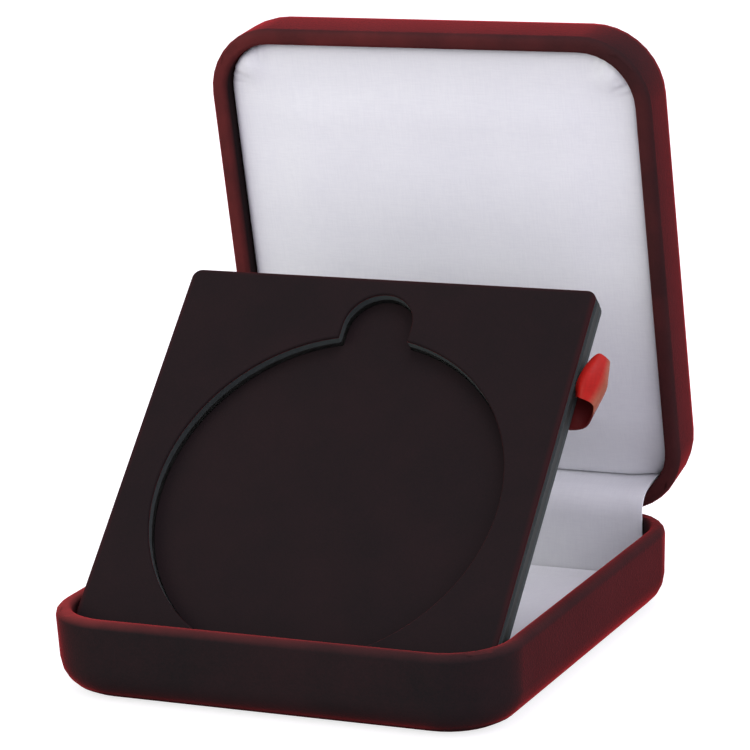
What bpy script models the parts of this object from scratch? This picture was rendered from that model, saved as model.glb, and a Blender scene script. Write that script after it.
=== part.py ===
"""Medal presentation case: flocked base and lid on a snap hinge, with an insert that tilts up."""

import math

import bmesh
import bpy
from mathutils import Vector

MM = 0.001

# The medal that the case is made for, and the borders of the insert round its seat. The insert's
# keyhole is a round seat and a round-ended notch for the medal's eyelet.
MEDAL_DIAMETER = 70.0 * MM
MEDAL_CLEARANCE = 0.3 * MM
SIDE_BORDER = 7.4 * MM
FRONT_BORDER = 4.1 * MM
NOTCH_RISE = 9.5 * MM
NOTCH_BORDER = 3.4 * MM
NOTCH_WIDTH = 14.5 * MM
NOTCH_FILLET = 2.0 * MM

# The case. +X is to the right, +Y to the hinge at the rear, and the base stands on z = 0.
BASE_HEIGHT = 16.0 * MM
LID_HEIGHT = 15.6 * MM
LID_OPEN = math.radians(80.57)
CORNER_RADIUS = 14.0 * MM
EDGE_RADIUS = 6.4 * MM
WALL = 3.2 * MM
WALL_DRAFT = 0.5 * MM
SHELL_FLOOR = 1.6 * MM
RIM_OUTER_RADIUS = 1.5 * MM
RIM_INNER_RADIUS = 0.9 * MM
CAVITY_RADIUS = 2.0 * MM
RIM_GAP = 0.3 * MM

# Gaps between neighbouring pieces, and how far a cutter runs past what it cuts.
FIT = 0.2 * MM
SEAT_GAP = 0.3 * MM
OVERRUN = 1.0 * MM
WELD = 0.002 * MM

# The floor lining of the base.
FLOOR_CARD = 0.8 * MM
FLOOR_SATIN = 0.65 * MM
FLOOR_SATIN_EDGE = 0.25 * MM

# The two inner seats on each side that carry the insert when it lies flat.
SEAT_TOP = 6.0 * MM
SEAT_WIDTH = 2.8 * MM
SEAT_FOOT_RADIUS = 3.0 * MM
SEAT_EDGE_RADIUS = 0.6 * MM
SEAT_RIBBON_MARGIN = 3.5 * MM

# The hinge: three knuckles on the base leaf and two on the lid leaf, on one pin.
HINGE_LENGTH = 46.0 * MM
HINGE_INSET = 0.9 * MM
KNUCKLE_RADIUS = 0.9 * MM
KNUCKLE_COUNT = 5
KNUCKLE_GAP = 0.3 * MM
PIN_RADIUS = 0.45 * MM
PIN_RUNNING_GAP = 0.08 * MM
PIN_HEAD = 0.5 * MM
LEAF_THICKNESS = 0.4 * MM
LEAF_LENGTH = 9.5 * MM
LEAF_TAB_DROP = 0.3 * MM
LEAF_TAB_REACH = 0.5 * MM
NOTCH_DEPTH = 1.0 * MM
SPRING_THICKNESS = 0.3 * MM
SPRING_LENGTH = 8.6 * MM
SPRING_TONGUE_DROP = 0.65 * MM
SPRING_TONGUE_REACH = 0.95 * MM
RIVET_INSET = 8.0 * MM
RIVET_DROP = 6.0 * MM
RIVET_RADIUS = 0.8 * MM
RIVET_HEAD_RADIUS = 1.6 * MM
RIVET_HEAD = 0.4 * MM
RIVET_BITE = 2.0 * MM

# The white strip that hides the hinge.
STRIP_THICKNESS = 0.5 * MM
STRIP_RIM_DROP = 0.6 * MM
WEB_THICKNESS = 0.35 * MM
WEB_SAG = 0.5 * MM

# The padded lining of the lid, measured from the lid's rim.
PAD_EDGE_DEPTH = 5.6 * MM
PAD_CROWN = 0.8 * MM
PAD_SIDE_RADIUS = 1.2 * MM
PAD_REAR_INSET = 1.6 * MM
PAD_CARD = 1.0 * MM
PAD_SATIN = 0.4 * MM
PAD_DRAW = 0.6 * MM
PAD_RING_SHARES = (0.88, 0.76, 0.55)
PAD_RISE_SHARES = (0.50, 0.32, 0.18)

# The insert: velour on foam with the keyhole recess, on a back board.
INSERT_THICKNESS = 5.0 * MM
INSERT_TILT = math.radians(44.48)
INSERT_SIDE_GAP = 1.1 * MM
INSERT_FRONT_GAP = 1.2 * MM
INSERT_REAR_GAP = 2.4 * MM
INSERT_LEANING_GAP = 0.33 * MM
INSERT_REAR_RADIUS = 2.5 * MM
BACK_REAR_RADIUS = 4.0 * MM
VELOUR = 0.5 * MM
BACK_BOARD = 1.4 * MM
RECESS_VELOUR = 0.4 * MM

# The ribbon pull at the insert's right edge.
RIBBON_WIDTH = 13.0 * MM
RIBBON_THICKNESS = 0.3 * MM
RIBBON_FROM_TOP = 21.5 * MM
RIBBON_REACH = 5.0 * MM
RIBBON_TAIL = 12.0 * MM
RIBBON_RISE = 3.2 * MM

# Facets of round shapes.
CORNER_STEPS = 9
EDGE_STEPS = 5
RIM_STEPS = 3
ROUND_STEPS = 18
CIRCLE_STEPS = 56
FILLET_STEPS = 4

# Colours: linear red, green and blue, then roughness and metallic.
FLOCK = ((0.105, 0.012, 0.014), 0.95, 0.0)
SATIN = ((0.76, 0.77, 0.80), 0.45, 0.0)
CARD = ((0.42, 0.38, 0.32), 0.9, 0.0)
PAD_FOAM = ((0.72, 0.70, 0.64), 0.95, 0.0)
STEEL = ((0.55, 0.55, 0.56), 0.35, 1.0)
SPRING_STEEL = ((0.32, 0.33, 0.36), 0.3, 1.0)
DARK_FOAM = ((0.030, 0.036, 0.038), 0.95, 0.0)
DARK_BOARD = ((0.022, 0.022, 0.024), 0.9, 0.0)
INSERT_VELOUR = ((0.040, 0.010, 0.011), 0.95, 0.0)
RIBBON = ((0.42, 0.020, 0.015), 0.4, 0.0)

# Places worked out from the sizes above: first through the hinge's layers, then outwards from the medal.
RIVET_SPACING = HINGE_LENGTH - 2 * RIVET_INSET
BORE_RADIUS = PIN_RADIUS + PIN_RUNNING_GAP
WALL_TO_AXIS = WALL - HINGE_INSET
LEAF_FACE = WALL_TO_AXIS + FIT + LEAF_THICKNESS
SPRING_FACE = LEAF_FACE + FIT + SPRING_THICKNESS
STRIP_BACK = SPRING_FACE + FIT + RIVET_HEAD + FIT
STRIP_FACE = STRIP_BACK + STRIP_THICKNESS
MEDAL_SEAT_RADIUS = MEDAL_DIAMETER / 2 + MEDAL_CLEARANCE
INSERT_WIDTH = 2 * (MEDAL_SEAT_RADIUS + SIDE_BORDER)
INSERT_LENGTH = FRONT_BORDER + 2 * MEDAL_SEAT_RADIUS + NOTCH_RISE + NOTCH_BORDER
CASE_WIDTH = INSERT_WIDTH + 2 * (INSERT_SIDE_GAP + WALL)
CASE_DEPTH = 2 * WALL + INSERT_FRONT_GAP + INSERT_LENGTH + INSERT_REAR_GAP + STRIP_FACE - WALL_TO_AXIS
INNER_HALF_WIDTH = CASE_WIDTH / 2 - WALL
INNER_HALF_DEPTH = CASE_DEPTH / 2 - WALL
INNER_CORNER = CORNER_RADIUS - WALL
STRIP_STAND_OFF = STRIP_BACK - WALL_TO_AXIS
CORNER_REACH = math.sqrt(INNER_CORNER ** 2 - (INNER_CORNER - STRIP_STAND_OFF) ** 2)
STRIP_HALF_WIDTH = INNER_HALF_WIDTH - INNER_CORNER + CORNER_REACH - SEAT_GAP
AXIS_Y = CASE_DEPTH / 2 - HINGE_INSET
AXIS_Z = BASE_HEIGHT + RIM_GAP / 2
FLOOR_TOP = SHELL_FLOOR + FIT + FLOOR_CARD + FIT + FLOOR_SATIN
INSERT_FRONT_RADIUS = INNER_CORNER + FIT

PARTS = "medal_presentation_case"
CUTTERS = "cutters"


def clear_scene():
    """Empties the scene and makes the two collections."""
    for item in list(bpy.data.objects):
        bpy.data.objects.remove(item, do_unlink=True)
    for name in (PARTS, CUTTERS):
        collection = bpy.data.collections.new(name)
        bpy.context.scene.collection.children.link(collection)
        if name == CUTTERS:
            collection.hide_render = True


def finish_material(name, look):
    """One Principled material with a colour, a roughness and a metallic value."""
    colour, roughness, metallic = look
    material = bpy.data.materials.new(name)
    material.use_nodes = True
    shader = material.node_tree.nodes["Principled BSDF"]
    shader.inputs["Base Color"].default_value = (*colour, 1.0)
    shader.inputs["Roughness"].default_value = roughness
    shader.inputs["Metallic"].default_value = metallic
    return material


def link_part(name, mesh, look, parent=None):
    """Adds a mesh to the part's collection under its node name."""
    part = bpy.data.objects.new(name, mesh)
    bpy.data.collections[PARTS].objects.link(part)
    part.parent = parent
    mesh.materials.clear()
    mesh.materials.append(finish_material(name, look))
    mesh.shade_smooth()
    mesh.set_sharp_from_angle(angle=math.radians(35))
    return part


def link_cutter(name, mesh, parent=None):
    """Adds a shape that only cuts or joins."""
    cutter = bpy.data.objects.new(name, mesh)
    bpy.data.collections[CUTTERS].objects.link(cutter)
    cutter.parent = parent
    cutter.hide_render = True
    cutter.display_type = "WIRE"
    return cutter


def mesh_from(shape, name):
    """Turns a bmesh into a mesh with its faces pointing out."""
    bmesh.ops.recalc_face_normals(shape, faces=shape.faces)
    mesh = bpy.data.meshes.new(name)
    shape.to_mesh(mesh)
    shape.free()
    return mesh


def combine(part, tool, operation):
    """Joins a tool to a part, or cuts it out, with an exact Boolean."""
    modifier = part.modifiers.new(tool.name, "BOOLEAN")
    modifier.operation = operation
    modifier.solver = "EXACT"
    modifier.object = tool


def level_edges(shape, height):
    """The edges that lie at one height."""
    return [edge for edge in shape.edges
            if all(abs(vert.co.z - height) < WELD for vert in edge.verts)]


def bevel_edges(shape, edges, radius, steps):
    """Rounds some edges."""
    bmesh.ops.bevel(shape, geom=edges, offset=radius, offset_type="OFFSET", segments=steps,
                    profile=0.5, affect="EDGES", clamp_overlap=False)


def box_shape(low, high, corner=0.0, steps=CORNER_STEPS, draft=0.0):
    """A box between two corner points; its upright edges can be rounded and its foot drawn in."""
    low = Vector(low)
    high = Vector(high)
    shape = bmesh.new()
    bmesh.ops.create_cube(shape, size=1.0)
    bmesh.ops.scale(shape, vec=high - low, verts=shape.verts)
    bmesh.ops.translate(shape, vec=(low + high) / 2, verts=shape.verts)
    for vert in shape.verts:
        if abs(vert.co.z - low.z) < WELD:
            vert.co.x -= math.copysign(draft, vert.co.x)
            vert.co.y -= math.copysign(draft, vert.co.y)
    if corner:
        upright = [edge for edge in shape.edges
                   if abs(edge.verts[0].co.z - edge.verts[1].co.z) > (high.z - low.z) / 2]
        bevel_edges(shape, upright, corner, steps)
    return shape


def cylinder_shape(radius, start, end, steps=ROUND_STEPS):
    """A cylinder between two points on a line along X or Y."""
    start = Vector(start)
    end = Vector(end)
    shape = bmesh.new()
    bmesh.ops.create_cone(shape, cap_ends=True, segments=steps, radius1=radius, radius2=radius,
                          depth=(end - start).length)
    turn = Vector((0, 0, 1)).rotation_difference(end - start).to_matrix()
    bmesh.ops.rotate(shape, cent=(0, 0, 0), matrix=turn, verts=shape.verts)
    bmesh.ops.translate(shape, vec=(start + end) / 2, verts=shape.verts)
    return shape


def arc(centre, radius, start, end, steps):
    """Points along a circular arc, with angles in degrees."""
    points = []
    for step in range(steps + 1):
        angle = math.radians(start + (end - start) * step / steps)
        points.append((centre[0] + radius * math.cos(angle), centre[1] + radius * math.sin(angle)))
    return points


def board_outline(half_width, front, rear, front_radius, rear_radius):
    """A board's outline from its half width, its front and rear edges and its corner radii."""
    outline = []
    outline += arc((half_width - front_radius, front + front_radius), front_radius, 270, 360, CORNER_STEPS)
    outline += arc((half_width - rear_radius, rear - rear_radius), rear_radius, 0, 90, FILLET_STEPS)
    outline += arc((rear_radius - half_width, rear - rear_radius), rear_radius, 90, 180, FILLET_STEPS)
    outline += arc((front_radius - half_width, front + front_radius), front_radius, 180, 270, CORNER_STEPS)
    return outline


def keyhole_outline(centre_y, radius, half_notch, notch_top, fillet):
    """A circle with a round-ended notch at its rear; fillets soften where they meet."""
    fillet_x = half_notch + fillet
    rise = math.sqrt((radius + fillet) ** 2 - fillet_x ** 2)
    fillet_y = centre_y + rise
    meet = math.degrees(math.atan2(rise, fillet_x))
    outline = []
    outline += arc((fillet_x, fillet_y), fillet, 180 + meet, 180, FILLET_STEPS)
    outline += arc((0, notch_top - half_notch), half_notch, 0, 180, ROUND_STEPS)
    outline += arc((-fillet_x, fillet_y), fillet, 0, -meet, FILLET_STEPS)
    outline += arc((0, centre_y), radius, 180 - meet, 360 + meet, CIRCLE_STEPS)[1:-1]
    return outline


def plate_mesh(name, outlines, low, thickness):
    """A flat sheet cut to outlines: a filled curve, extruded, then made a mesh and welded."""
    curve = bpy.data.curves.new(name, "CURVE")
    curve.dimensions = "2D"
    curve.fill_mode = "BOTH"
    curve.extrude = thickness / 2
    for outline in outlines:
        spline = curve.splines.new("POLY")
        spline.points.add(len(outline) - 1)
        for point, place in zip(spline.points, outline):
            point.co = (*place, 0, 1)
        spline.use_cyclic_u = True
    guide = bpy.data.objects.new(name + "_outline", curve)
    bpy.context.scene.collection.objects.link(guide)
    graph = bpy.context.evaluated_depsgraph_get()
    mesh = bpy.data.meshes.new_from_object(guide.evaluated_get(graph))
    bpy.data.objects.remove(guide, do_unlink=True)
    shape = bmesh.new()
    shape.from_mesh(mesh)
    bmesh.ops.remove_doubles(shape, verts=shape.verts, dist=WELD)
    bmesh.ops.translate(shape, vec=(0, 0, low + thickness / 2), verts=shape.verts)
    bpy.data.meshes.remove(mesh)
    return mesh_from(shape, name)


def turned_part(name, profile, look, parent):
    """A turned piece: its half profile, run round the Z axis by a Screw modifier."""
    mesh = bpy.data.meshes.new(name)
    edges = [(index, index + 1) for index in range(len(profile) - 1)]
    mesh.from_pydata([(radius, 0, height) for radius, height in profile], edges, [])
    part = link_part(name, mesh, look, parent)
    screw = part.modifiers.new("turn", "SCREW")
    screw.axis = "Z"
    screw.steps = ROUND_STEPS
    screw.render_steps = ROUND_STEPS
    screw.use_merge_vertices = True
    screw.merge_threshold = WELD
    return part


def strip_part(name, path, low_side, high_side, thickness, look, parent):
    """A bent sheet: a path in the XZ or YZ plane, swept sideways and given a thickness."""
    shape = bmesh.new()
    side = Vector(high_side) - Vector(low_side)
    verts = [shape.verts.new(Vector(place) + Vector(low_side)) for place in path]
    edges = [shape.edges.new(pair) for pair in zip(verts, verts[1:])]
    swept = bmesh.ops.extrude_edge_only(shape, edges=edges)
    moved = [item for item in swept["geom"] if isinstance(item, bmesh.types.BMVert)]
    bmesh.ops.translate(shape, vec=side, verts=moved)
    part = link_part(name, mesh_from(shape, name), look, parent)
    solid = part.modifiers.new("thickness", "SOLIDIFY")
    solid.thickness = thickness
    solid.offset = 0.0
    solid.use_even_offset = True
    return part


def shell_shape(height):
    """A flocked tray that opens upwards: rounded outside, inset and sunk to make its walls."""
    shape = box_shape((-CASE_WIDTH / 2, -CASE_DEPTH / 2, 0), (CASE_WIDTH / 2, CASE_DEPTH / 2, height),
                      CORNER_RADIUS, draft=WALL_DRAFT)
    bevel_edges(shape, level_edges(shape, 0), EDGE_RADIUS, EDGE_STEPS)
    bevel_edges(shape, level_edges(shape, height), RIM_OUTER_RADIUS, RIM_STEPS)
    top = [face for face in shape.faces if all(abs(vert.co.z - height) < WELD for vert in face.verts)]
    bmesh.ops.inset_region(shape, faces=top, thickness=WALL - RIM_OUTER_RADIUS, use_even_offset=True)
    sunk = bmesh.ops.extrude_face_region(shape, geom=top)
    verts = [item for item in sunk["geom"] if isinstance(item, bmesh.types.BMVert)]
    bmesh.ops.translate(shape, vec=(0, 0, SHELL_FLOOR - height), verts=verts)
    bmesh.ops.delete(shape, geom=top, context="FACES")
    bevel_edges(shape, level_edges(shape, SHELL_FLOOR), CAVITY_RADIUS, RIM_STEPS)
    inner = [edge for edge in level_edges(shape, height)
             if all(abs(vert.co.x) < INNER_HALF_WIDTH + WELD and abs(vert.co.y) < INNER_HALF_DEPTH + WELD
                    for vert in edge.verts)]
    bevel_edges(shape, inner, RIM_INNER_RADIUS, RIM_STEPS)
    return shape


def cut_hinge_seat(shell, side, parent, z_of_axis):
    """Cuts the notch for the knuckles and the two blind rivet holes out of a shell's rear wall."""
    half = HINGE_LENGTH / 2 + FIT + PIN_HEAD + SEAT_GAP
    rim = side * RIM_GAP / 2
    floor = rim + side * NOTCH_DEPTH
    low, high = sorted((floor, rim - side * OVERRUN))
    centre = AXIS_Y if parent is None else 0
    notch = box_shape((-half, centre - WALL_TO_AXIS - OVERRUN, z_of_axis + low),
                      (half, centre + HINGE_INSET + OVERRUN, z_of_axis + high))
    tool = link_cutter(shell.name + "_notch", mesh_from(notch, "notch"), parent)
    combine(shell, tool, "DIFFERENCE")
    for index, x in enumerate((-RIVET_SPACING / 2, RIVET_SPACING / 2)):
        z = z_of_axis + side * RIVET_DROP
        wall = centre - WALL_TO_AXIS
        hole = cylinder_shape(RIVET_RADIUS + FIT, (x, wall - OVERRUN, z), (x, wall + RIVET_BITE + FIT, z))
        tool = link_cutter(f"{shell.name}_rivet_hole_{index + 1}", mesh_from(hole, "hole"), parent)
        combine(shell, tool, "DIFFERENCE")


def make_base_shell():
    """The tray, with its four inner seats and the hinge notch."""
    shell = link_part("base_shell", mesh_from(shell_shape(BASE_HEIGHT), "base_shell"), FLOCK)
    end_of_seats = INNER_HALF_DEPTH - INNER_CORNER
    ribbon = INNER_HALF_DEPTH - STRIP_FACE + WALL_TO_AXIS - INSERT_REAR_GAP - RIBBON_FROM_TOP
    half_gap = RIBBON_WIDTH / 2 + SEAT_RIBBON_MARGIN
    spans = ((-end_of_seats, ribbon - half_gap), (ribbon + half_gap, end_of_seats))
    for side in (-1, 1):
        for index, (start, end) in enumerate(spans):
            inner = side * (INNER_HALF_WIDTH - SEAT_WIDTH)
            outer = side * (INNER_HALF_WIDTH + WALL / 4)
            low_x, high_x = sorted((inner, outer))
            seat = box_shape((low_x, start, SHELL_FLOOR / 2), (high_x, end, SEAT_TOP))
            foot = [edge for edge in level_edges(seat, SHELL_FLOOR / 2)
                    if all(abs(vert.co.x) > INNER_HALF_WIDTH for vert in edge.verts)]
            bevel_edges(seat, foot, SEAT_FOOT_RADIUS, EDGE_STEPS)
            crest = [edge for edge in level_edges(seat, SEAT_TOP)
                     if all(abs(vert.co.x) < INNER_HALF_WIDTH for vert in edge.verts)]
            bevel_edges(seat, crest, SEAT_EDGE_RADIUS, RIM_STEPS)
            tool = link_cutter(f"seat_{'left' if side < 0 else 'right'}_{index + 1}",
                               mesh_from(seat, "seat"))
            combine(shell, tool, "UNION")
    cut_hinge_seat(shell, -1, None, AXIS_Z)


def make_floor_lining():
    """The stiff card and the satin on it, between the seats."""
    half_width = INNER_HALF_WIDTH - SEAT_WIDTH - FIT
    half_depth = INNER_HALF_DEPTH - CAVITY_RADIUS - FIT
    corner = INNER_CORNER - CAVITY_RADIUS
    low = SHELL_FLOOR + FIT
    card = box_shape((-half_width, -half_depth, low), (half_width, half_depth, low + FLOOR_CARD), corner)
    link_part("base_floor_card", mesh_from(card, "base_floor_card"), CARD)
    low = low + FLOOR_CARD + FIT
    half_depth = INNER_HALF_DEPTH - 2 * FIT
    satin = box_shape((-half_width, -half_depth, low), (half_width, half_depth, FLOOR_TOP), INNER_CORNER)
    bevel_edges(satin, level_edges(satin, FLOOR_TOP), FLOOR_SATIN_EDGE, RIM_STEPS)
    link_part("base_floor_satin", mesh_from(satin, "base_floor_satin"), SATIN)


def knuckle_spans():
    """The start and end along X of each knuckle, from left to right."""
    pitch = HINGE_LENGTH / KNUCKLE_COUNT
    spans = []
    for index in range(KNUCKLE_COUNT):
        start = -HINGE_LENGTH / 2 + index * pitch
        end = start + pitch
        if index > 0:
            start += KNUCKLE_GAP / 2
        if index < KNUCKLE_COUNT - 1:
            end -= KNUCKLE_GAP / 2
        spans.append((start, end))
    return spans


def bent_sheet(name, side, face, length, tab_drop, tab_reach, thickness, half, look, parent):
    """A sheet bent over the rim: a plate down the wall and a tab that reaches towards the pin."""
    plate_y = -face + thickness / 2
    tab_z = side * (tab_drop + thickness / 2)
    path = [(0, plate_y, side * length), (0, plate_y, tab_z), (0, -tab_reach, tab_z)]
    return strip_part(name, path, (-half, 0, 0), (half, 0, 0), thickness, look, parent)


def cut_slots(sheet, side, spans, half, parent):
    """Cuts away the tab and the knuckles everywhere but in the given spans."""
    ends = [-half - OVERRUN]
    for start, end in spans:
        ends += [start, end]
    ends.append(half + OVERRUN)
    shoulder = side * (RIM_GAP / 2 + NOTCH_DEPTH + FIT)
    low, high = sorted((shoulder, -side * (KNUCKLE_RADIUS + OVERRUN)))
    for index, (start, end) in enumerate(zip(ends[0::2], ends[1::2])):
        if end - start < OVERRUN + WELD:
            continue
        slot = box_shape((start, -STRIP_FACE, low), (end, KNUCKLE_RADIUS + OVERRUN, high))
        tool = link_cutter(f"{sheet.name}_slot_{index + 1}", mesh_from(slot, "slot"), parent)
        combine(sheet, tool, "DIFFERENCE")


def cut_rivet_holes(part, side, parent):
    """Cuts the two rivet holes through a leaf or a spring."""
    for index, x in enumerate((-RIVET_SPACING / 2, RIVET_SPACING / 2)):
        z = side * RIVET_DROP
        hole = cylinder_shape(RIVET_RADIUS + FIT, (x, -SPRING_FACE - OVERRUN, z), (x, -WALL_TO_AXIS, z))
        tool = link_cutter(f"{part.name}_hole_{index + 1}", mesh_from(hole, "hole"), parent)
        combine(part, tool, "DIFFERENCE")


def make_leaf(name, side, spans, parent):
    """A stamped leaf: a bent sheet whose tabs end in knuckles, bored for the pin."""
    half = HINGE_LENGTH / 2
    leaf = bent_sheet(name, side, LEAF_FACE, LEAF_LENGTH, LEAF_TAB_DROP, LEAF_TAB_REACH, LEAF_THICKNESS,
                      half, STEEL, parent)
    barrel = cylinder_shape(KNUCKLE_RADIUS, (-half, 0, 0), (half, 0, 0))
    combine(leaf, link_cutter(name + "_barrel", mesh_from(barrel, "barrel"), parent), "UNION")
    cut_slots(leaf, side, spans, half, parent)
    bore = cylinder_shape(BORE_RADIUS, (-HINGE_LENGTH, 0, 0), (HINGE_LENGTH, 0, 0))
    combine(leaf, link_cutter(name + "_bore", mesh_from(bore, "bore"), parent), "DIFFERENCE")
    cut_rivet_holes(leaf, side, parent)


def make_rivets(name, side, seat_face, parent):
    """Two drive rivets, turned, with their heads on the given face and their shanks in the wall."""
    shank = seat_face - WALL_TO_AXIS + RIVET_BITE
    profile = ((0, FIT + RIVET_HEAD), (RIVET_HEAD_RADIUS * 0.7, FIT + RIVET_HEAD),
               (RIVET_HEAD_RADIUS, FIT + RIVET_HEAD / 2), (RIVET_HEAD_RADIUS, FIT),
               (RIVET_RADIUS, FIT), (RIVET_RADIUS, -shank + RIVET_RADIUS / 2),
               (RIVET_RADIUS / 2, -shank), (0, -shank))
    for label, x in (("left", -RIVET_SPACING / 2), ("right", RIVET_SPACING / 2)):
        rivet = turned_part(f"{name}_{label}", profile, STEEL, parent)
        rivet.location = (x, -seat_face, side * RIVET_DROP)
        rivet.rotation_euler = (math.radians(90), 0, 0)


def make_pin(parent):
    """The hinge pin, turned, with a peened head at each end."""
    half = HINGE_LENGTH / 2 + FIT
    head = half + PIN_HEAD
    head_radius = KNUCKLE_RADIUS - FIT / 2
    profile = ((0, head), (head_radius / 2, head), (head_radius, head - PIN_HEAD / 2), (head_radius, half),
               (PIN_RADIUS, half), (PIN_RADIUS, -half), (head_radius, -half),
               (head_radius, PIN_HEAD / 2 - head), (head_radius / 2, -head), (0, -head))
    pin = turned_part("hinge_pin", profile, STEEL, parent)
    pin.rotation_euler = (0, math.radians(90), 0)


def make_spring(spans, parent):
    """The snap spring: a bent sheet under the rivet heads, with a tongue at each lid knuckle."""
    half = RIVET_SPACING / 2 + RIVET_HEAD_RADIUS + OVERRUN
    spring = bent_sheet("snap_spring", -1, SPRING_FACE, SPRING_LENGTH, SPRING_TONGUE_DROP,
                        SPRING_TONGUE_REACH, SPRING_THICKNESS, half, SPRING_STEEL, parent)
    cut_slots(spring, -1, spans, half, parent)
    cut_rivet_holes(spring, -1, parent)


def make_hinge(hinge_place, lid_pivot):
    """Both leaves, the pin, the spring and the rivets."""
    spans = knuckle_spans()
    make_leaf("hinge_leaf_base", -1, spans[0::2], hinge_place)
    make_leaf("hinge_leaf_lid", 1, spans[1::2], lid_pivot)
    make_pin(hinge_place)
    make_spring(spans[1::2], hinge_place)
    make_rivets("hinge_rivet_base", -1, SPRING_FACE, hinge_place)
    make_rivets("hinge_rivet_lid", 1, LEAF_FACE, lid_pivot)


def make_strip(hinge_place, lid_pivot):
    """The white strip: a covered card on each rear wall, and the satin web that flexes between them."""
    half = STRIP_HALF_WIDTH
    top = -(RIM_GAP / 2 + STRIP_RIM_DROP)
    foot = FLOOR_TOP + FIT - AXIS_Z
    card = box_shape((-half, -STRIP_FACE, foot), (half, -STRIP_BACK, top))
    link_part("hinge_cover_base", mesh_from(card, "hinge_cover_base"), SATIN, hinge_place)
    lid_top = RIM_GAP / 2 + PAD_EDGE_DEPTH - FIT
    card = box_shape((-half, -STRIP_FACE, -top), (half, -STRIP_BACK, lid_top))
    link_part("hinge_cover_lid", mesh_from(card, "hinge_cover_lid"), SATIN, lid_pivot)
    middle = -(STRIP_FACE + STRIP_BACK) / 2
    turn = Vector((middle, -top)).to_3d()
    cosine = math.cos(LID_OPEN)
    sine = math.sin(LID_OPEN)
    end = Vector((0, turn.x * cosine + turn.y * sine, -turn.x * sine + turn.y * cosine))
    start = Vector((0, middle, top))
    along = (end - start).normalized()
    start = start + along * (FIT + WEB_THICKNESS)
    end = end - along * (FIT + WEB_THICKNESS)
    across = Vector((0, along.z, -along.y))
    path = []
    for step in range(EDGE_STEPS + 1):
        share = step / EDGE_STEPS
        path.append(start.lerp(end, share) + across * WEB_SAG * math.sin(math.pi * share))
    strip_part("hinge_satin_web", path, (-half, 0, 0), (half, 0, 0), WEB_THICKNESS, SATIN, hinge_place)


def lid_shell_mesh():
    """The lid's shell in the hinge's frame, closed: the same tray, turned over."""
    shape = shell_shape(LID_HEIGHT)
    bmesh.ops.scale(shape, vec=(1, 1, -1), verts=shape.verts)
    bmesh.ops.reverse_faces(shape, faces=shape.faces)
    bmesh.ops.translate(shape, vec=(0, -AXIS_Y, RIM_GAP / 2 + LID_HEIGHT), verts=shape.verts)
    return mesh_from(shape, "lid_shell")


def crowned_shape(half_width, front, rear, edge_z, back_z, corner, crown):
    """A pad whose face looks down: sides drawn in behind, rounded edges and a face that crowns."""
    half_depth = (rear - front) / 2
    shape = box_shape((PAD_DRAW - half_width, PAD_DRAW - half_depth, edge_z),
                      (half_width - PAD_DRAW, half_depth - PAD_DRAW, back_z), corner, draft=-PAD_DRAW)
    bevel_edges(shape, level_edges(shape, edge_z), PAD_SIDE_RADIUS, RIM_STEPS)
    face = [item for item in shape.faces if all(abs(vert.co.z - edge_z) < WELD for vert in item.verts)]
    for ring_share, rise_share in zip(PAD_RING_SHARES, PAD_RISE_SHARES):
        face = bmesh.ops.extrude_discrete_faces(shape, faces=face)["faces"]
        bmesh.ops.scale(shape, vec=(ring_share, ring_share, 1), verts=face[0].verts)
        bmesh.ops.translate(shape, vec=(0, 0, -crown * rise_share), verts=face[0].verts)
    bmesh.ops.translate(shape, vec=(0, (front + rear) / 2, 0), verts=shape.verts)
    return shape


def make_lid(lid_pivot):
    """The lid's shell and its padded lining, in the hinge's frame."""
    shell = link_part("lid_shell", lid_shell_mesh(), FLOCK, lid_pivot)
    cut_hinge_seat(shell, 1, lid_pivot, 0)
    rim = RIM_GAP / 2
    roof = rim + LID_HEIGHT - SHELL_FLOOR - FIT
    half_width = INNER_HALF_WIDTH - CAVITY_RADIUS - FIT
    half_depth = INNER_HALF_DEPTH - CAVITY_RADIUS - FIT
    card = box_shape((-half_width, -AXIS_Y - half_depth, roof - PAD_CARD),
                     (half_width, -AXIS_Y + half_depth, roof), INNER_CORNER - CAVITY_RADIUS)
    link_part("lid_pad_card", mesh_from(card, "lid_pad_card"), CARD, lid_pivot)
    back = roof - PAD_CARD - FIT
    half_width = INNER_HALF_WIDTH - FIT
    front = -AXIS_Y - INNER_HALF_DEPTH + FIT
    rear = -AXIS_Y + INNER_HALF_DEPTH - PAD_REAR_INSET
    edge = rim + PAD_EDGE_DEPTH
    skin = crowned_shape(half_width, front, rear, edge, back, INNER_CORNER - FIT, PAD_CROWN)
    open_back = [face for face in skin.faces if all(abs(vert.co.z - back) < WELD for vert in face.verts)]
    bmesh.ops.delete(skin, geom=open_back, context="FACES")
    satin = link_part("lid_pad_satin", mesh_from(skin, "lid_pad_satin"), SATIN, lid_pivot)
    solid = satin.modifiers.new("thickness", "SOLIDIFY")
    solid.thickness = PAD_SATIN
    solid.offset = -1.0
    solid.use_even_offset = True
    inset = PAD_SATIN + FIT
    foam = crowned_shape(half_width - inset, front + inset, rear - inset, edge + inset, back - FIT,
                         INNER_CORNER - FIT - inset, PAD_CROWN)
    link_part("lid_pad_foam", mesh_from(foam, "lid_pad_foam"), PAD_FOAM, lid_pivot)


def insert_places():
    """The insert's front top edge when it leans and when it lies flat, as (y, z)."""
    leaning = Vector((-INNER_HALF_DEPTH + INSERT_LEANING_GAP,
                      FLOOR_TOP + SEAT_GAP + INSERT_THICKNESS * math.cos(INSERT_TILT)))
    flat = Vector((-INNER_HALF_DEPTH + INSERT_FRONT_GAP, SEAT_TOP + FIT + INSERT_THICKNESS))
    return leaning, flat


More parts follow.
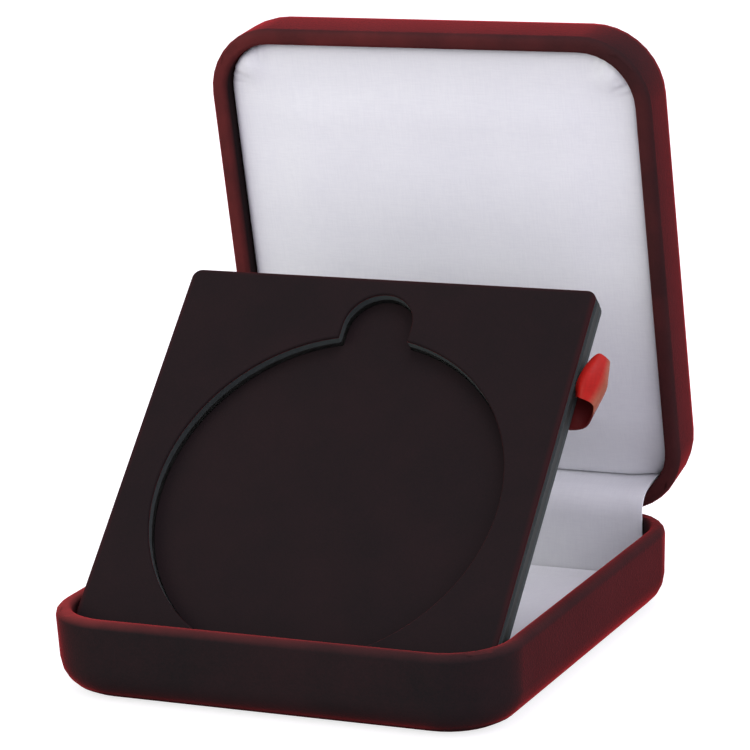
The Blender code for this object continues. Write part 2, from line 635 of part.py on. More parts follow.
def insert_pivot_place():
    """The one point that the insert turns about between leaning and lying flat, as (y, z)."""
    leaning, flat = insert_places()
    step = flat - leaning
    reach = step.length / 2 / math.tan(INSERT_TILT / 2)
    across = Vector((step.y, -step.x)).normalized()
    return (leaning + flat) / 2 + across * reach


def make_insert(pivot, place):
    """The insert's layers, lying flat in the pivot's frame, from the back board up."""
    flat = insert_places()[1] - place
    front = flat.x
    top = flat.y
    rear = front + INSERT_LENGTH
    half = INSERT_WIDTH / 2
    face_outline = board_outline(half, front, rear, INSERT_FRONT_RADIUS, INSERT_REAR_RADIUS)
    back_outline = board_outline(half, front, rear, INSERT_FRONT_RADIUS, BACK_REAR_RADIUS)
    centre = front + FRONT_BORDER + MEDAL_SEAT_RADIUS
    radius = MEDAL_SEAT_RADIUS
    notch_top = rear - NOTCH_BORDER
    hole = keyhole_outline(centre, radius, NOTCH_WIDTH / 2, notch_top, NOTCH_FILLET)
    floor = keyhole_outline(centre, radius - FIT, NOTCH_WIDTH / 2 - FIT, notch_top - FIT, NOTCH_FILLET + FIT)
    low = top - INSERT_THICKNESS
    link_part("insert_back_board", plate_mesh("insert_back_board", [back_outline], low, BACK_BOARD),
              DARK_BOARD, pivot)
    foam_low = low + BACK_BOARD + FIT
    foam = top - VELOUR - FIT - foam_low
    link_part("insert_foam", plate_mesh("insert_foam", [face_outline, hole], foam_low, foam), DARK_FOAM, pivot)
    link_part("insert_recess_velour", plate_mesh("insert_recess_velour", [floor], foam_low, RECESS_VELOUR),
              INSERT_VELOUR, pivot)
    link_part("insert_face_velour", plate_mesh("insert_face_velour", [face_outline, hole], top - VELOUR, VELOUR),
              INSERT_VELOUR, pivot)
    make_ribbon(pivot, half, low, rear - RIBBON_FROM_TOP)


def make_ribbon(pivot, edge, low, centre):
    """The ribbon pull: its tail lies under the back board and its loop stands out past the edge."""
    under = low - FIT - RIBBON_THICKNESS / 2
    start = edge + FIT + RIBBON_THICKNESS / 2
    nose = start + RIBBON_REACH - RIBBON_RISE
    rise = RIBBON_RISE
    path = [(edge - RIBBON_TAIL, 0, under), (edge, 0, under)]
    for x, z in arc((nose - rise / 2, under + rise), rise, 270, 450, ROUND_STEPS // 2):
        path.append((x, 0, z))
    path.append((start, 0, under + rise * 1.7))
    strip_part("ribbon_pull", path, (0, centre - RIBBON_WIDTH / 2, 0), (0, centre + RIBBON_WIDTH / 2, 0),
               RIBBON_THICKNESS, RIBBON, pivot)


def make_pivot(name, place, angle):
    """An empty on a joint's axis, turned to the joint's place at rest."""
    pivot = bpy.data.objects.new(name, None)
    bpy.data.collections[PARTS].objects.link(pivot)
    pivot.location = place
    pivot.rotation_euler = (angle, 0, 0)
    return pivot


def main():
    """Builds the whole case, open, with its insert leaning."""
    clear_scene()
    axis = (0, AXIS_Y, AXIS_Z)
    hinge_place = make_pivot("hinge_place", axis, 0)
    lid_pivot = make_pivot("lid_pivot", axis, -LID_OPEN)
    place = insert_pivot_place()
    insert_pivot = make_pivot("insert_pivot", (0, place.x, place.y), INSERT_TILT)
    make_base_shell()
    make_floor_lining()
    make_hinge(hinge_place, lid_pivot)
    make_strip(hinge_place, lid_pivot)
    make_lid(lid_pivot)
    make_insert(insert_pivot, place)


main()
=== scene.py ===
"""Looks of the medal presentation case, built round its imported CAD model."""

import math

import bpy
from mathutils import Matrix, Vector, noise


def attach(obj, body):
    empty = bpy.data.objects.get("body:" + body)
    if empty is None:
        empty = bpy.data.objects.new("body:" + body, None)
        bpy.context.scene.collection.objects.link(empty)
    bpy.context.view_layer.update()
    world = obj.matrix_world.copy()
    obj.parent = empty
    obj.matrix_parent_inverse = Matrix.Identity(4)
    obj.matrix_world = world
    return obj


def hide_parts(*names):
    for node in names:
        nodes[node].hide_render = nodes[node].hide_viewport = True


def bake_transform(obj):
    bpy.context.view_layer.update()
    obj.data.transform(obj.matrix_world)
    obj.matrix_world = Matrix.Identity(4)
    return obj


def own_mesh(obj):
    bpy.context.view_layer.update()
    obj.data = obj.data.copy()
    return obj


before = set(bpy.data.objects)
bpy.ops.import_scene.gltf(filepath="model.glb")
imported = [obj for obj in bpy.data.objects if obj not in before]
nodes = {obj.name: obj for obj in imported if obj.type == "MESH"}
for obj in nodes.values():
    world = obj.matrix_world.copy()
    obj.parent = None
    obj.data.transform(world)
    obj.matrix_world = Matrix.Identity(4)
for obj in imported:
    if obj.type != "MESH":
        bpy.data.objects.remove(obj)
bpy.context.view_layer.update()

# Base shell
# The tray that the case stands on: moulded plastic, coated all over with short burgundy velour
# flock. The pile is nearly black seen straight on and turns red where it is seen along its tips.
# Sizes are in millimetres, and those that are times MM are in metres.
MM = 0.001
BASE_RIM_HEIGHT = 16.0 * MM
CORNER_CENTRE_X = 32.95
CORNER_CENTRE_Y = 35.95

FLOCK_DEEP = (0.0138, 0.0124, 0.0127, 1)
FLOCK_WORN = (0.0265, 0.0150, 0.0156, 1)
# Rim red: partly wear, partly a painted highlight on the rim's top where the light falls.
FLOCK_WEAR_AND_HIGHLIGHT = (0.1500, 0.0260, 0.0250, 1)
FLOCK_SHEEN = (1.0, 0.062, 0.070, 1)
FLOCK_SHEEN_ROUGHNESS = 0.29
FLOCK_LINT = (0.30, 0.17, 0.16, 1)
PILE_ROUGHNESS = 0.95
PATCH_SCALE = 75.0
PATCH_SPREAD = (0.36, 0.66)
PATCH_SHARE = 0.45
GRAIN_SCALE = 2400.0
GRAIN_SPREAD = (0.35, 0.75)
GRAIN_SHARE = 0.40
LINT_SCALE = 150.0
LINT_EDGE = (0.024, 0.012)
LINT_KEPT = (0.90, 0.91)
NAP_STRENGTH = 0.55
NAP_DEPTH = 0.12 * MM
RIM_WEAR_AND_HIGHLIGHT_DEPTH = 1.25 * MM
RIM_WEAR_AND_HIGHLIGHT_FROM = 0.18
RIM_WEAR_AND_HIGHLIGHT_RIGHT_END = 12 * MM
RIM_WEAR_AND_HIGHLIGHT_LEFT_END = -44 * MM
WEAR_AND_HIGHLIGHT_LEAST = 0.55
INNER_WALL_PAINTED_SHADE_SHEEN = 0.1
INNER_WALL_SHADE_REACH = 10.9 * MM
OUTER_PILE = 0.76
INNER_WALL_SHADE_FADE_REACH = 11.5 * MM
JOIN_REACH = 0.002 * MM
CORNER_ANGLE = 38
FLAT_FACE_WEIGHT = 60


def new_finish(name, roughness, **sockets):
    """A material, with what is the same all over it set on its shader's own sockets."""
    finish = bpy.data.materials.new(name)
    finish.use_nodes = True
    shader = finish.node_tree.nodes["Principled BSDF"]
    shader.inputs["Roughness"].default_value = roughness
    for socket, value in sockets.items():
        shader.inputs[socket.replace("_", " ")].default_value = value
    return finish, shader


def node_on(finish, kind, settings=None, **inputs):
    """One more node in a finish. An input is a value, or the socket that feeds it.

    An input is called by its name, with _ for a space, or by i and its number.
    """
    node = finish.node_tree.nodes.new(kind)
    for name, value in (settings or {}).items():
        setattr(node, name, value)
    for name, value in inputs.items():
        by_number = name[0] == "i" and name[1:].isdigit()
        key = int(name[1:]) if by_number else name.replace("_", " ")
        if isinstance(value, bpy.types.NodeSocket):
            finish.node_tree.links.new(value, node.inputs[key])
        else:
            node.inputs[key].default_value = value
    return node


def feed(finish, node, **sockets):
    """Links sockets to a node's inputs, which are called by their names."""
    for name, socket in sockets.items():
        finish.node_tree.links.new(socket, node.inputs[name.replace("_", " ")])


def maths(finish, operation, *values):
    """The result of one operation on values or sockets."""
    inputs = {f"i{number}": value for number, value in enumerate(values)}
    return node_on(finish, "ShaderNodeMath", {"operation": operation}, **inputs).outputs[0]


def cloud(finish, place, scale, detail, roughness=0.5):
    """Uneven noise from 0 to 1, over a place."""
    uneven = node_on(finish, "ShaderNodeTexNoise", None, Vector=place, Scale=scale, Detail=detail,
                     Roughness=roughness)
    return uneven.outputs["Fac"]


def ramp(finish, value, low, high, least=0.0, most=1.0):
    """A value spread so that low gives the least and high gives the most."""
    spread = node_on(finish, "ShaderNodeMapRange", None, Value=value, From_Min=low, From_Max=high,
                     To_Min=least, To_Max=most)
    return spread.outputs["Result"]


def blend_colours(finish, share, first, second):
    """Two colours, or colour sockets, mixed by a share."""
    mix = node_on(finish, "ShaderNodeMix", {"data_type": "RGBA"}, i0=share, i6=first, i7=second)
    return mix.outputs[2]


def raise_surface(finish, shader, height, strength, depth):
    """Gives a finish the bumps of a height from 0 to 1."""
    bump = node_on(finish, "ShaderNodeBump", None, Strength=strength, Distance=depth,
                   Height=height)
    feed(finish, shader, Normal=bump.outputs["Normal"])


def object_place(finish):
    """Where a point is on the piece, in metres."""
    return node_on(finish, "ShaderNodeTexCoord").outputs["Object"]


def turned_place(finish, place, pivot, turn):
    """X, Y and Z of a point, from a pivot, in a frame that is turned about X, in metres."""
    held = node_on(finish, "ShaderNodeMapping", {"vector_type": "TEXTURE"}, Vector=place,
                   Location=pivot, Rotation=(turn, 0, 0))
    return node_on(finish, "ShaderNodeSeparateXYZ", None, Vector=held.outputs[0]).outputs


def pile_finish(name, deep, worn, wear_and_highlight, wear_and_highlight_share, **sockets):
    """Velour: a fine pile with faintly brushed patches, a few specks of lint and lighter edges, as
    wear and as a painted highlight.
    """
    finish, shader = new_finish(name, PILE_ROUGHNESS, **sockets)
    place = object_place(finish)
    patch = ramp(finish, cloud(finish, place, PATCH_SCALE, 4.0, 0.55), *PATCH_SPREAD)
    grain = cloud(finish, place, GRAIN_SCALE, 2.0, 0.6)
    tips = ramp(finish, grain, *GRAIN_SPREAD)
    brushed = maths(finish, "MULTIPLY", patch, PATCH_SHARE)
    brushed = maths(finish, "MULTIPLY_ADD", tips, GRAIN_SHARE, brushed)
    colour = blend_colours(finish, brushed, deep, worn)
    # Edges get a lighter colour that is partly wear and partly a painted highlight where light
    # catches them.
    uneven = maths(finish, "MULTIPLY_ADD", patch, 1 - WEAR_AND_HIGHLIGHT_LEAST, WEAR_AND_HIGHLIGHT_LEAST)
    wear_and_highlight_mask = maths(finish, "MULTIPLY", wear_and_highlight_share(finish, place), uneven)
    colour = blend_colours(finish, wear_and_highlight_mask, colour, wear_and_highlight)
    specks = node_on(finish, "ShaderNodeTexVoronoi", None, Vector=place, Scale=LINT_SCALE,
                     Randomness=1.0)
    chance = node_on(finish, "ShaderNodeSeparateColor", None, Color=specks.outputs["Color"])
    spot = maths(finish, "MULTIPLY", ramp(finish, specks.outputs["Distance"], *LINT_EDGE),
                 ramp(finish, chance.outputs[0], *LINT_KEPT))
    feed(finish, shader, Base_Color=blend_colours(finish, spot, colour, FLOCK_LINT))
    raise_surface(finish, shader, grain, NAP_STRENGTH, NAP_DEPTH)
    return finish


def base_rim_wear_and_highlight(finish, place):
    """The base rim's top is redder, as wear and as a painted highlight, most of all at its left
    corners.
    """
    at = turned_place(finish, place, (0, 0, 0), 0)
    left = ramp(finish, at["X"], RIM_WEAR_AND_HIGHLIGHT_RIGHT_END, RIM_WEAR_AND_HIGHLIGHT_LEFT_END, RIM_WEAR_AND_HIGHLIGHT_FROM)
    edge = ramp(finish, at["Z"], BASE_RIM_HEIGHT - RIM_WEAR_AND_HIGHLIGHT_DEPTH, BASE_RIM_HEIGHT)
    return maths(finish, "MULTIPLY", left, edge)


def flock_finish(name, rim, pivot, turn, middle_y):
    """A shell's flock, its sheen turned down on the inner walls as painted shade."""
    finish = pile_finish(name, FLOCK_DEEP, FLOCK_WORN, FLOCK_WEAR_AND_HIGHLIGHT, rim,
                         Sheen_Roughness=FLOCK_SHEEN_ROUGHNESS, Sheen_Tint=FLOCK_SHEEN,
                         Specular_IOR_Level=0.0)
    at = turned_place(finish, object_place(finish), pivot, turn)
    beyond = {}
    for axis, middle, half in (("X", 0, CORNER_CENTRE_X * MM),
                               ("Y", middle_y, CORNER_CENTRE_Y * MM)):
        away = maths(finish, "ABSOLUTE", maths(finish, "SUBTRACT", at[axis], middle))
        beyond[axis] = maths(finish, "MAXIMUM", maths(finish, "SUBTRACT", away, half), 0)
    corner = node_on(finish, "ShaderNodeCombineXYZ", None, **beyond)
    reach = node_on(finish, "ShaderNodeVectorMath", {"operation": "LENGTH"}, i0=corner.outputs[0])
    # Painted shade: the inner walls lose most of their sheen.
    sheen = ramp(finish, reach.outputs["Value"], INNER_WALL_SHADE_REACH, INNER_WALL_SHADE_FADE_REACH, INNER_WALL_PAINTED_SHADE_SHEEN,
                 OUTER_PILE)
    feed(finish, finish.node_tree.nodes["Principled BSDF"], Sheen_Weight=sheen)
    return finish


def coat(piece, finish):
    """Gives a piece its only finish."""
    piece.data.materials.clear()
    piece.data.materials.append(finish)


def dress(node_name, finish):
    """Gives a CAD node its finish, and joins and smooths its loose triangles as it is shown."""
    node = nodes[node_name]
    coat(node, finish)
    for face in node.data.polygons:
        face.use_smooth = True
        face.material_index = 0
    weld = node.modifiers.new("join", "WELD")
    weld.merge_threshold = JOIN_REACH
    split = node.modifiers.new("keep_corners", "EDGE_SPLIT")
    split.split_angle = math.radians(CORNER_ANGLE)
    normals = node.modifiers.new("flat_stays_flat", "WEIGHTED_NORMAL")
    normals.weight = FLAT_FACE_WEIGHT


dress("base_shell", flock_finish("base_flock", base_rim_wear_and_highlight, (0, 0, 0), 0, 0))

# Base floor
# A grey board lies in the tray, and a piece of white satin is laid over it and up against the
# walls. The satin isn't glued, so it shows a few soft waves.
SATIN_WHITE = (0.835, 0.842, 0.852, 1)
SATIN_SHADED = (0.770, 0.777, 0.800, 1)
SATIN_ROUGHNESS = 0.46
THREAD_SCALE = 3300.0
THREAD_STRETCH = 0.10
THREAD_SPREAD = (0.75, 1.25)
SLUB_SCALE = 55.0
SLUB_SPREAD = (0.35, 0.70)
WEAVE_STRENGTH = 0.30
WEAVE_DEPTH = 0.08 * MM
BOARD_GREY = (0.36, 0.33, 0.29, 1)
BOARD_FLECK = (0.24, 0.22, 0.19, 1)
BOARD_ROUGHNESS = 0.92
PULP_SCALE = 900.0
PULP_SPREAD = (0.42, 0.72)
PULP_STRENGTH = 0.3
PULP_DEPTH = 0.1 * MM
CLOTH_ANGLE = 60
CLOTH_THICKNESS = 0.3
FLOOR_COLUMNS = 84
FLOOR_ROWS = 92
FLOOR_HALF_WIDTH = 40.7
FLOOR_FRONT = -45.4
FLOOR_REAR = 44.1
FLOOR_CORNER = 9.0
FLOOR_OUTLINE_REAR = 50.0
FLOOR_SATIN_HEIGHT = 3.1
FLOOR_WAVE = 0.12
FLOOR_WAVE_WIDTH = 16
FLOOR_WAVE_DEPTH = 11
FLOOR_WAVE_LEVEL = 3.0
FLOOR_TURN_UP = 0.28
FLOOR_TURN_UP_REACH = 2
FLOOR_REAR_TURN_UP = 1.0
FLOOR_REAR_TURN_UP_REACH = 2.4
REAR_BOW = 0.62
REAR_BOW_FROM = 33.0
REAR_BOW_END = 40.1


def satin_finish(name, light, shaded, thread_scale, **sockets):
    """Satin: fine crossed threads, a little slub along them, and a soft broad gloss."""
    finish, shader = new_finish(name, SATIN_ROUGHNESS, **sockets)
    place = object_place(finish)
    threads = []
    for stretch in ((THREAD_STRETCH, 1.0, 1.0), (1.0, THREAD_STRETCH, THREAD_STRETCH)):
        run = node_on(finish, "ShaderNodeMapping", None, Vector=place, Scale=stretch)
        threads.append(cloud(finish, run.outputs[0], thread_scale, 2.0))
    cloth = maths(finish, "ADD", *threads)
    fine = maths(finish, "MULTIPLY", ramp(finish, cloth, *THREAD_SPREAD), 0.5)
    broad = ramp(finish, cloud(finish, place, SLUB_SCALE, 3.0), *SLUB_SPREAD)
    both = maths(finish, "MULTIPLY_ADD", broad, 0.5, fine)
    feed(finish, shader, Base_Color=blend_colours(finish, both, shaded, light))
    raise_surface(finish, shader, cloth, WEAVE_STRENGTH, WEAVE_DEPTH)
    return finish


def board_finish(name, plain, fleck):
    """Board or foam: matt pulp with short flecks."""
    finish, shader = new_finish(name, BOARD_ROUGHNESS)
    pulp = cloud(finish, object_place(finish), PULP_SCALE, 5.0, 0.7)
    flecked = blend_colours(finish, ramp(finish, pulp, *PULP_SPREAD), plain, fleck)
    feed(finish, shader, Base_Color=flecked)
    raise_surface(finish, shader, pulp, PULP_STRENGTH, PULP_DEPTH)
    return finish


def nothing_selected():
    bpy.ops.object.select_all(action="DESELECT")


def hold(piece):
    """Selects one piece and nothing else."""
    nothing_selected()
    piece.select_set(True)
    bpy.context.view_layer.objects.active = piece


def name_new(name):
    """The object that was just added, with its own name."""
    piece = bpy.context.object
    piece.name = name
    piece.data.name = name
    return piece


def add_grid(name, columns, rows):
    """A grid of one metre a side, to be laid out point by point."""
    nothing_selected()
    bpy.ops.mesh.primitive_grid_add(x_subdivisions=columns, y_subdivisions=rows, size=1,
                                    location=(0, 0, 0))
    return name_new(name)


def finish_with(piece, kind, **settings):
    """Adds a modifier to a piece and applies it."""
    step = piece.modifiers.new(kind.lower(), kind)
    for name, value in settings.items():
        setattr(step, name, value)
    bpy.context.view_layer.objects.active = piece
    bpy.ops.object.modifier_apply(modifier=step.name)


def shade(piece, angle):
    """Shades a piece smooth, but for corners over an angle."""
    hold(piece)
    bpy.ops.object.shade_smooth_by_angle(angle=math.radians(angle))


def smooth_step(value):
    """Eases from 0 at 0 to 1 at 1."""
    value = min(1.0, max(0.0, value))
    return value * value * (3 - 2 * value)


def inside_outline(x, y, half_width, front, rear, radius):
    """The nearest place to (x, y) in a rectangle with rounded corners, all in millimetres."""
    x = min(half_width, max(-half_width, x))
    y = min(rear, max(front, y))
    centre_x = math.copysign(half_width - radius, x)
    centre_y = rear - radius if y > (front + rear) / 2 else front + radius
    out_x, out_y = x - centre_x, y - centre_y
    reach = math.hypot(out_x, out_y)
    if out_x * centre_x > 0 and out_y * (centre_y - (front + rear) / 2) > 0 and reach > radius:
        return centre_x + out_x * radius / reach, centre_y + out_y * radius / reach
    return x, y


def wall_bow(x):
    """How far the rounded rear corners push the linings' ends forward, in millimetres."""
    return REAR_BOW * smooth_step((abs(x) - REAR_BOW_FROM) / (REAR_BOW_END - REAR_BOW_FROM))


white_satin = satin_finish("white_satin", SATIN_WHITE, SATIN_SHADED, THREAD_SCALE,
                           Sheen_Weight=0.25, Sheen_Roughness=0.3, Specular_IOR_Level=0.35)
grey_board = board_finish("grey_board", BOARD_GREY, BOARD_FLECK)
dress("base_floor_card", grey_board)

floor_satin = add_grid("floor_satin", FLOOR_COLUMNS, FLOOR_ROWS)
for vertex in floor_satin.data.vertices:
    x = vertex.co.x * 2 * FLOOR_HALF_WIDTH
    y = FLOOR_FRONT + (vertex.co.y + 0.5) * (FLOOR_REAR - FLOOR_FRONT)
    x, y = inside_outline(x, y, FLOOR_HALF_WIDTH, FLOOR_FRONT, FLOOR_OUTLINE_REAR, FLOOR_CORNER)
    y = min(y, FLOOR_REAR - wall_bow(x))
    beyond = max(abs(x) - FLOOR_HALF_WIDTH, FLOOR_FRONT - y)
    side = smooth_step(1 + beyond / FLOOR_TURN_UP_REACH)
    rear = smooth_step(1 + (y - FLOOR_REAR + wall_bow(x)) / FLOOR_REAR_TURN_UP_REACH)
    uneven = noise.noise((x / FLOOR_WAVE_WIDTH, y / FLOOR_WAVE_DEPTH, FLOOR_WAVE_LEVEL))
    height = FLOOR_SATIN_HEIGHT + FLOOR_WAVE * uneven * (1 - side) * (1 - rear)
    height = height + FLOOR_TURN_UP * side + FLOOR_REAR_TURN_UP * rear
    vertex.co = (x * MM, y * MM, height * MM)
finish_with(floor_satin, "SOLIDIFY", thickness=CLOTH_THICKNESS * MM, offset=0)
shade(floor_satin, CLOTH_ANGLE)
coat(floor_satin, white_satin)
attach(floor_satin, "base")
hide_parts("base_floor_satin")

# Hinge metalwork
# Two stamped steel leaves are riveted into the rear walls and turn on a wire pin; a thin spring
# plate under the base leaf presses on the lid's knuckles, so that the lid snaps open and shut.
STEEL_PLAIN = (0.56, 0.56, 0.57, 1)
STEEL_DULL = (0.40, 0.40, 0.41, 1)
STEEL_ROUGHNESS = 0.36
SPRING_BLUE = (0.30, 0.31, 0.35, 1)
SPRING_DULL = (0.20, 0.21, 0.23, 1)
SPRING_ROUGHNESS = 0.30
ROLLING_SCALE = 9000.0
ROLLING_STRETCH = 0.05
ROLLING_STRENGTH = 0.15
ROLLING_DEPTH = 0.03 * MM
ROUGHNESS_SPREAD = 0.25
ROUGHNESS_BELOW = 0.12
STAIN_SCALE = 350.0
STAIN_SPREAD = (0.40, 0.70)


def steel_finish(name, bright, dull, roughness):
    """Rolled steel strip: fine rolling lines with dull patches."""
    finish, shader = new_finish(name, roughness, Metallic=1.0)
    place = object_place(finish)
    drawn = node_on(finish, "ShaderNodeMapping", None, Vector=place,
                    Scale=(ROLLING_STRETCH, 1.0, 1.0))
    lines = cloud(finish, drawn.outputs[0], ROLLING_SCALE, 3.0)
    stain = ramp(finish, cloud(finish, place, STAIN_SCALE, 4.0), *STAIN_SPREAD)
    rough = maths(finish, "MULTIPLY_ADD", ramp(finish, lines, 0.0, 1.0), ROUGHNESS_SPREAD,
                  roughness - ROUGHNESS_BELOW)
    feed(finish, shader, Base_Color=blend_colours(finish, stain, bright, dull), Roughness=rough)
    raise_surface(finish, shader, lines, ROLLING_STRENGTH, ROLLING_DEPTH)
    return finish


hinge_steel = steel_finish("hinge_steel", STEEL_PLAIN, STEEL_DULL, STEEL_ROUGHNESS)
spring_steel = steel_finish("spring_steel", SPRING_BLUE, SPRING_DULL, SPRING_ROUGHNESS)
for node_name in ("hinge_leaf_base", "hinge_leaf_lid", "hinge_pin", "hinge_rivet_base_left",
                  "hinge_rivet_base_right", "hinge_rivet_lid_left", "hinge_rivet_lid_right"):
    dress(node_name, hinge_steel)
dress("snap_spring", spring_steel)

# Hinge strip
# One strip of white satin hides the hinge. It is glued to a card on each rear wall, turns in a
# round curve between them, and is tucked behind the lid's pad.
HINGE_Y = 49.1
HINGE_Z = 16.15
LID_OPEN = math.radians(80.57)
STRIP_HALF_WIDTH = 40.1
STRIP_Y = -4.65
STRIP_FOOT = -12.55
STRIP_FOOT_STEPS = 9
STRIP_CUTS = 39
STRIP_LID_END = 7.6
STRIP_LID_STEPS = 4
TURN_START = -0.75
TURN_RADIUS = 5.53
TURN_STEPS = 10
TURN_FLAT = math.radians(2)
TURN_BOW = 0.7
TURN_BOW_REACH = 4.2


def opened(y, z):
    """A place in the closed lid where the lid stands open, in millimetres from the hinge's axis."""
    return (y * math.cos(LID_OPEN) + z * math.sin(LID_OPEN),
            z * math.cos(LID_OPEN) - y * math.sin(LID_OPEN))


def line(start, end, steps):
    """Places along a straight line, without its end."""
    return [(start[0] + (end[0] - start[0]) * i / steps, start[1] + (end[1] - start[1]) * i / steps)
            for i in range(steps)]


def turn_at(angle):
    """A place on the strip's round turn, by the angle from where the turn starts."""
    return (STRIP_Y + TURN_RADIUS * (1 - math.cos(angle)),
            TURN_START + TURN_RADIUS * math.sin(angle))


half_turn = LID_OPEN / 2
turn_low = [turn_at((half_turn - TURN_FLAT) * i / TURN_STEPS) for i in range(TURN_STEPS + 1)]
turn_high = [turn_at(LID_OPEN - (half_turn - TURN_FLAT) * i / TURN_STEPS)
             for i in range(TURN_STEPS, -1, -1)]
turn_middle = ((turn_low[-1][0] + turn_high[0][0]) / 2, (turn_low[-1][1] + turn_high[0][1]) / 2)
lid_end = opened(STRIP_Y, STRIP_LID_END)
strip_path = (line((STRIP_Y, STRIP_FOOT), turn_low[0], STRIP_FOOT_STEPS) + turn_low + [turn_middle]
              + turn_high + line(turn_high[-1], lid_end, STRIP_LID_STEPS)[1:] + [lid_end])
strip_middle = strip_path.index(turn_middle)


def add_plane(name):
    """A square metre of mesh, to be sized."""
    nothing_selected()
    bpy.ops.mesh.primitive_plane_add(size=1, location=(0, 0, 0))
    return name_new(name)


def pick(piece, kind, wanted):
    """In edit mode, selects the vertices, edges or faces that wanted() says yes to."""
    bpy.ops.object.mode_set(mode="EDIT")
    bpy.ops.mesh.select_mode(type=kind)
    bpy.ops.mesh.select_all(action="DESELECT")
    bpy.ops.object.mode_set(mode="OBJECT")
    mesh = piece.data
    if kind == "VERT":
        for item in mesh.vertices:
            item.select = wanted(item.co)
    if kind == "EDGE":
        for item in mesh.edges:
            item.select = wanted(*(mesh.vertices[end].co for end in item.vertices))
    if kind == "FACE":
        for item in mesh.polygons:
            item.select = wanted(item.normal)
    bpy.ops.object.mode_set(mode="EDIT")


def strip_place(point):
    """A place on the strip, given from the hinge's axis in millimetres, in metres."""
    return (0, (HINGE_Y + point[0]) * MM, (HINGE_Z + point[1]) * MM)


def strip_between(name, first, last):
    """A length of the strip: an edge right across it, extruded from point to point of its path.

    Its ends are bowed forward, out of the rounded corners of the case.
    """
    piece = add_plane(name)
    pick(piece, "VERT", lambda co: co.y > 0)
    bpy.ops.mesh.delete(type="VERT")
    bpy.ops.object.mode_set(mode="OBJECT")
    start = strip_place(strip_path[first])
    for vertex in piece.data.vertices:
        vertex.co = (math.copysign(STRIP_HALF_WIDTH * MM, vertex.co.x), start[1], start[2])
    bpy.ops.object.mode_set(mode="EDIT")
    bpy.ops.mesh.select_mode(type="EDGE")
    bpy.ops.mesh.select_all(action="SELECT")
    bpy.ops.mesh.subdivide(number_cuts=STRIP_CUTS)
    bpy.ops.mesh.select_all(action="SELECT")
    for before, after in zip(strip_path[first:last], strip_path[first + 1:last + 1]):
        step = (0, (after[0] - before[0]) * MM, (after[1] - before[1]) * MM)
        bpy.ops.mesh.extrude_edges_move(TRANSFORM_OT_translate={"value": step})
    bpy.ops.mesh.select_all(action="SELECT")
    bpy.ops.mesh.normals_make_consistent(inside=False)
    bpy.ops.object.mode_set(mode="OBJECT")
    for vertex in piece.data.vertices:
        y, z = vertex.co.y / MM - HINGE_Y, vertex.co.z / MM - HINGE_Z
        at = min(range(first, last + 1),
                 key=lambda i: math.hypot(strip_path[i][0] - y, strip_path[i][1] - z))
        here = strip_path[at]
        before, after = strip_path[max(at - 1, 0)], strip_path[min(at + 1, len(strip_path) - 1)]
        slope = math.atan2(after[1] - before[1], after[0] - before[0])
        from_middle = math.hypot(here[0] - turn_middle[0], here[1] - turn_middle[1])
        more = TURN_BOW * smooth_step(1 - from_middle / TURN_BOW_REACH)
        bow = wall_bow(vertex.co.x / MM) * (1 + more)
        vertex.co.y -= bow * math.sin(slope) * MM
        vertex.co.z += bow * math.cos(slope) * MM
    finish_with(piece, "SOLIDIFY", thickness=CLOTH_THICKNESS * MM, offset=0)
    shade(piece, CLOTH_ANGLE)
    coat(piece, white_satin)
    return piece


strip_low = strip_between("strip_low", 0, strip_middle)
strip_high = strip_between("strip_high", strip_middle, len(strip_path) - 1)
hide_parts("hinge_cover_base", "hinge_satin_web")
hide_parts("hinge_cover_lid", "hinge_satin_web")
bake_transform(strip_low)
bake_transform(strip_high)

# Lid shell
# The same flocked moulding as the base, turned over; it stands open just short of upright. Its
# rim is redder all the way round as well, as wear and as a painted highlight.
LID_PIVOT = Vector((0, HINGE_Y * MM, HINGE_Z * MM))
LID_RIM = 0.15 * MM
LID_WEAR_AND_HIGHLIGHT_DEPTH = 1.7 * MM
LID_WEAR_AND_HIGHLIGHT_END = 44 * MM
LID_WEAR_AND_HIGHLIGHT_LEFT = 0.85
LID_WEAR_AND_HIGHLIGHT_RIGHT = 0.35


def lid_rim_wear_and_highlight(finish, place):
    """The lid's rim is redder, as wear and as a painted highlight, and more at the left than at the
    right.
    """
    at = turned_place(finish, place, LID_PIVOT, -LID_OPEN)
    left = ramp(finish, at["X"], LID_WEAR_AND_HIGHLIGHT_END, -LID_WEAR_AND_HIGHLIGHT_END, LID_WEAR_AND_HIGHLIGHT_RIGHT, LID_WEAR_AND_HIGHLIGHT_LEFT)
    edge = ramp(finish, at["Z"], LID_RIM + LID_WEAR_AND_HIGHLIGHT_DEPTH, LID_RIM)
    return maths(finish, "MULTIPLY", left, edge)


dress("lid_shell", flock_finish("lid_flock", lid_rim_wear_and_highlight, LID_PIVOT, -LID_OPEN, -HINGE_Y * MM))

# Lid pad
# A board in the top of the lid carries soft foam with white satin drawn over it. The pad fills
# the lid from wall to wall, its edges rolled in and the satin a little puckered at the corners.
PAD_HALF_WIDTH = 43.2
PAD_FRONT = -95.3
PAD_REAR = -2.8
PAD_CUT = -5.1
PAD_CUT_RADIUS = 1.4
PAD_CUT_SEGMENTS = 3
PAD_CUT_MARGIN = 0.1
PAD_FACE = 4.05
PAD_BACK = 12.8
PAD_CORNER = 10.3
PAD_CORNER_SEGMENTS = 10
PAD_EDGE = 0.8
PAD_EDGE_SEGMENTS = 5
PAD_VOXEL = 1.1
PAD_ANGLE = 75
PAD_PRESSURE = 4
PAD_FRAMES = 20
PAD_CAP = 3.0
PAD_GLUED = 2.0

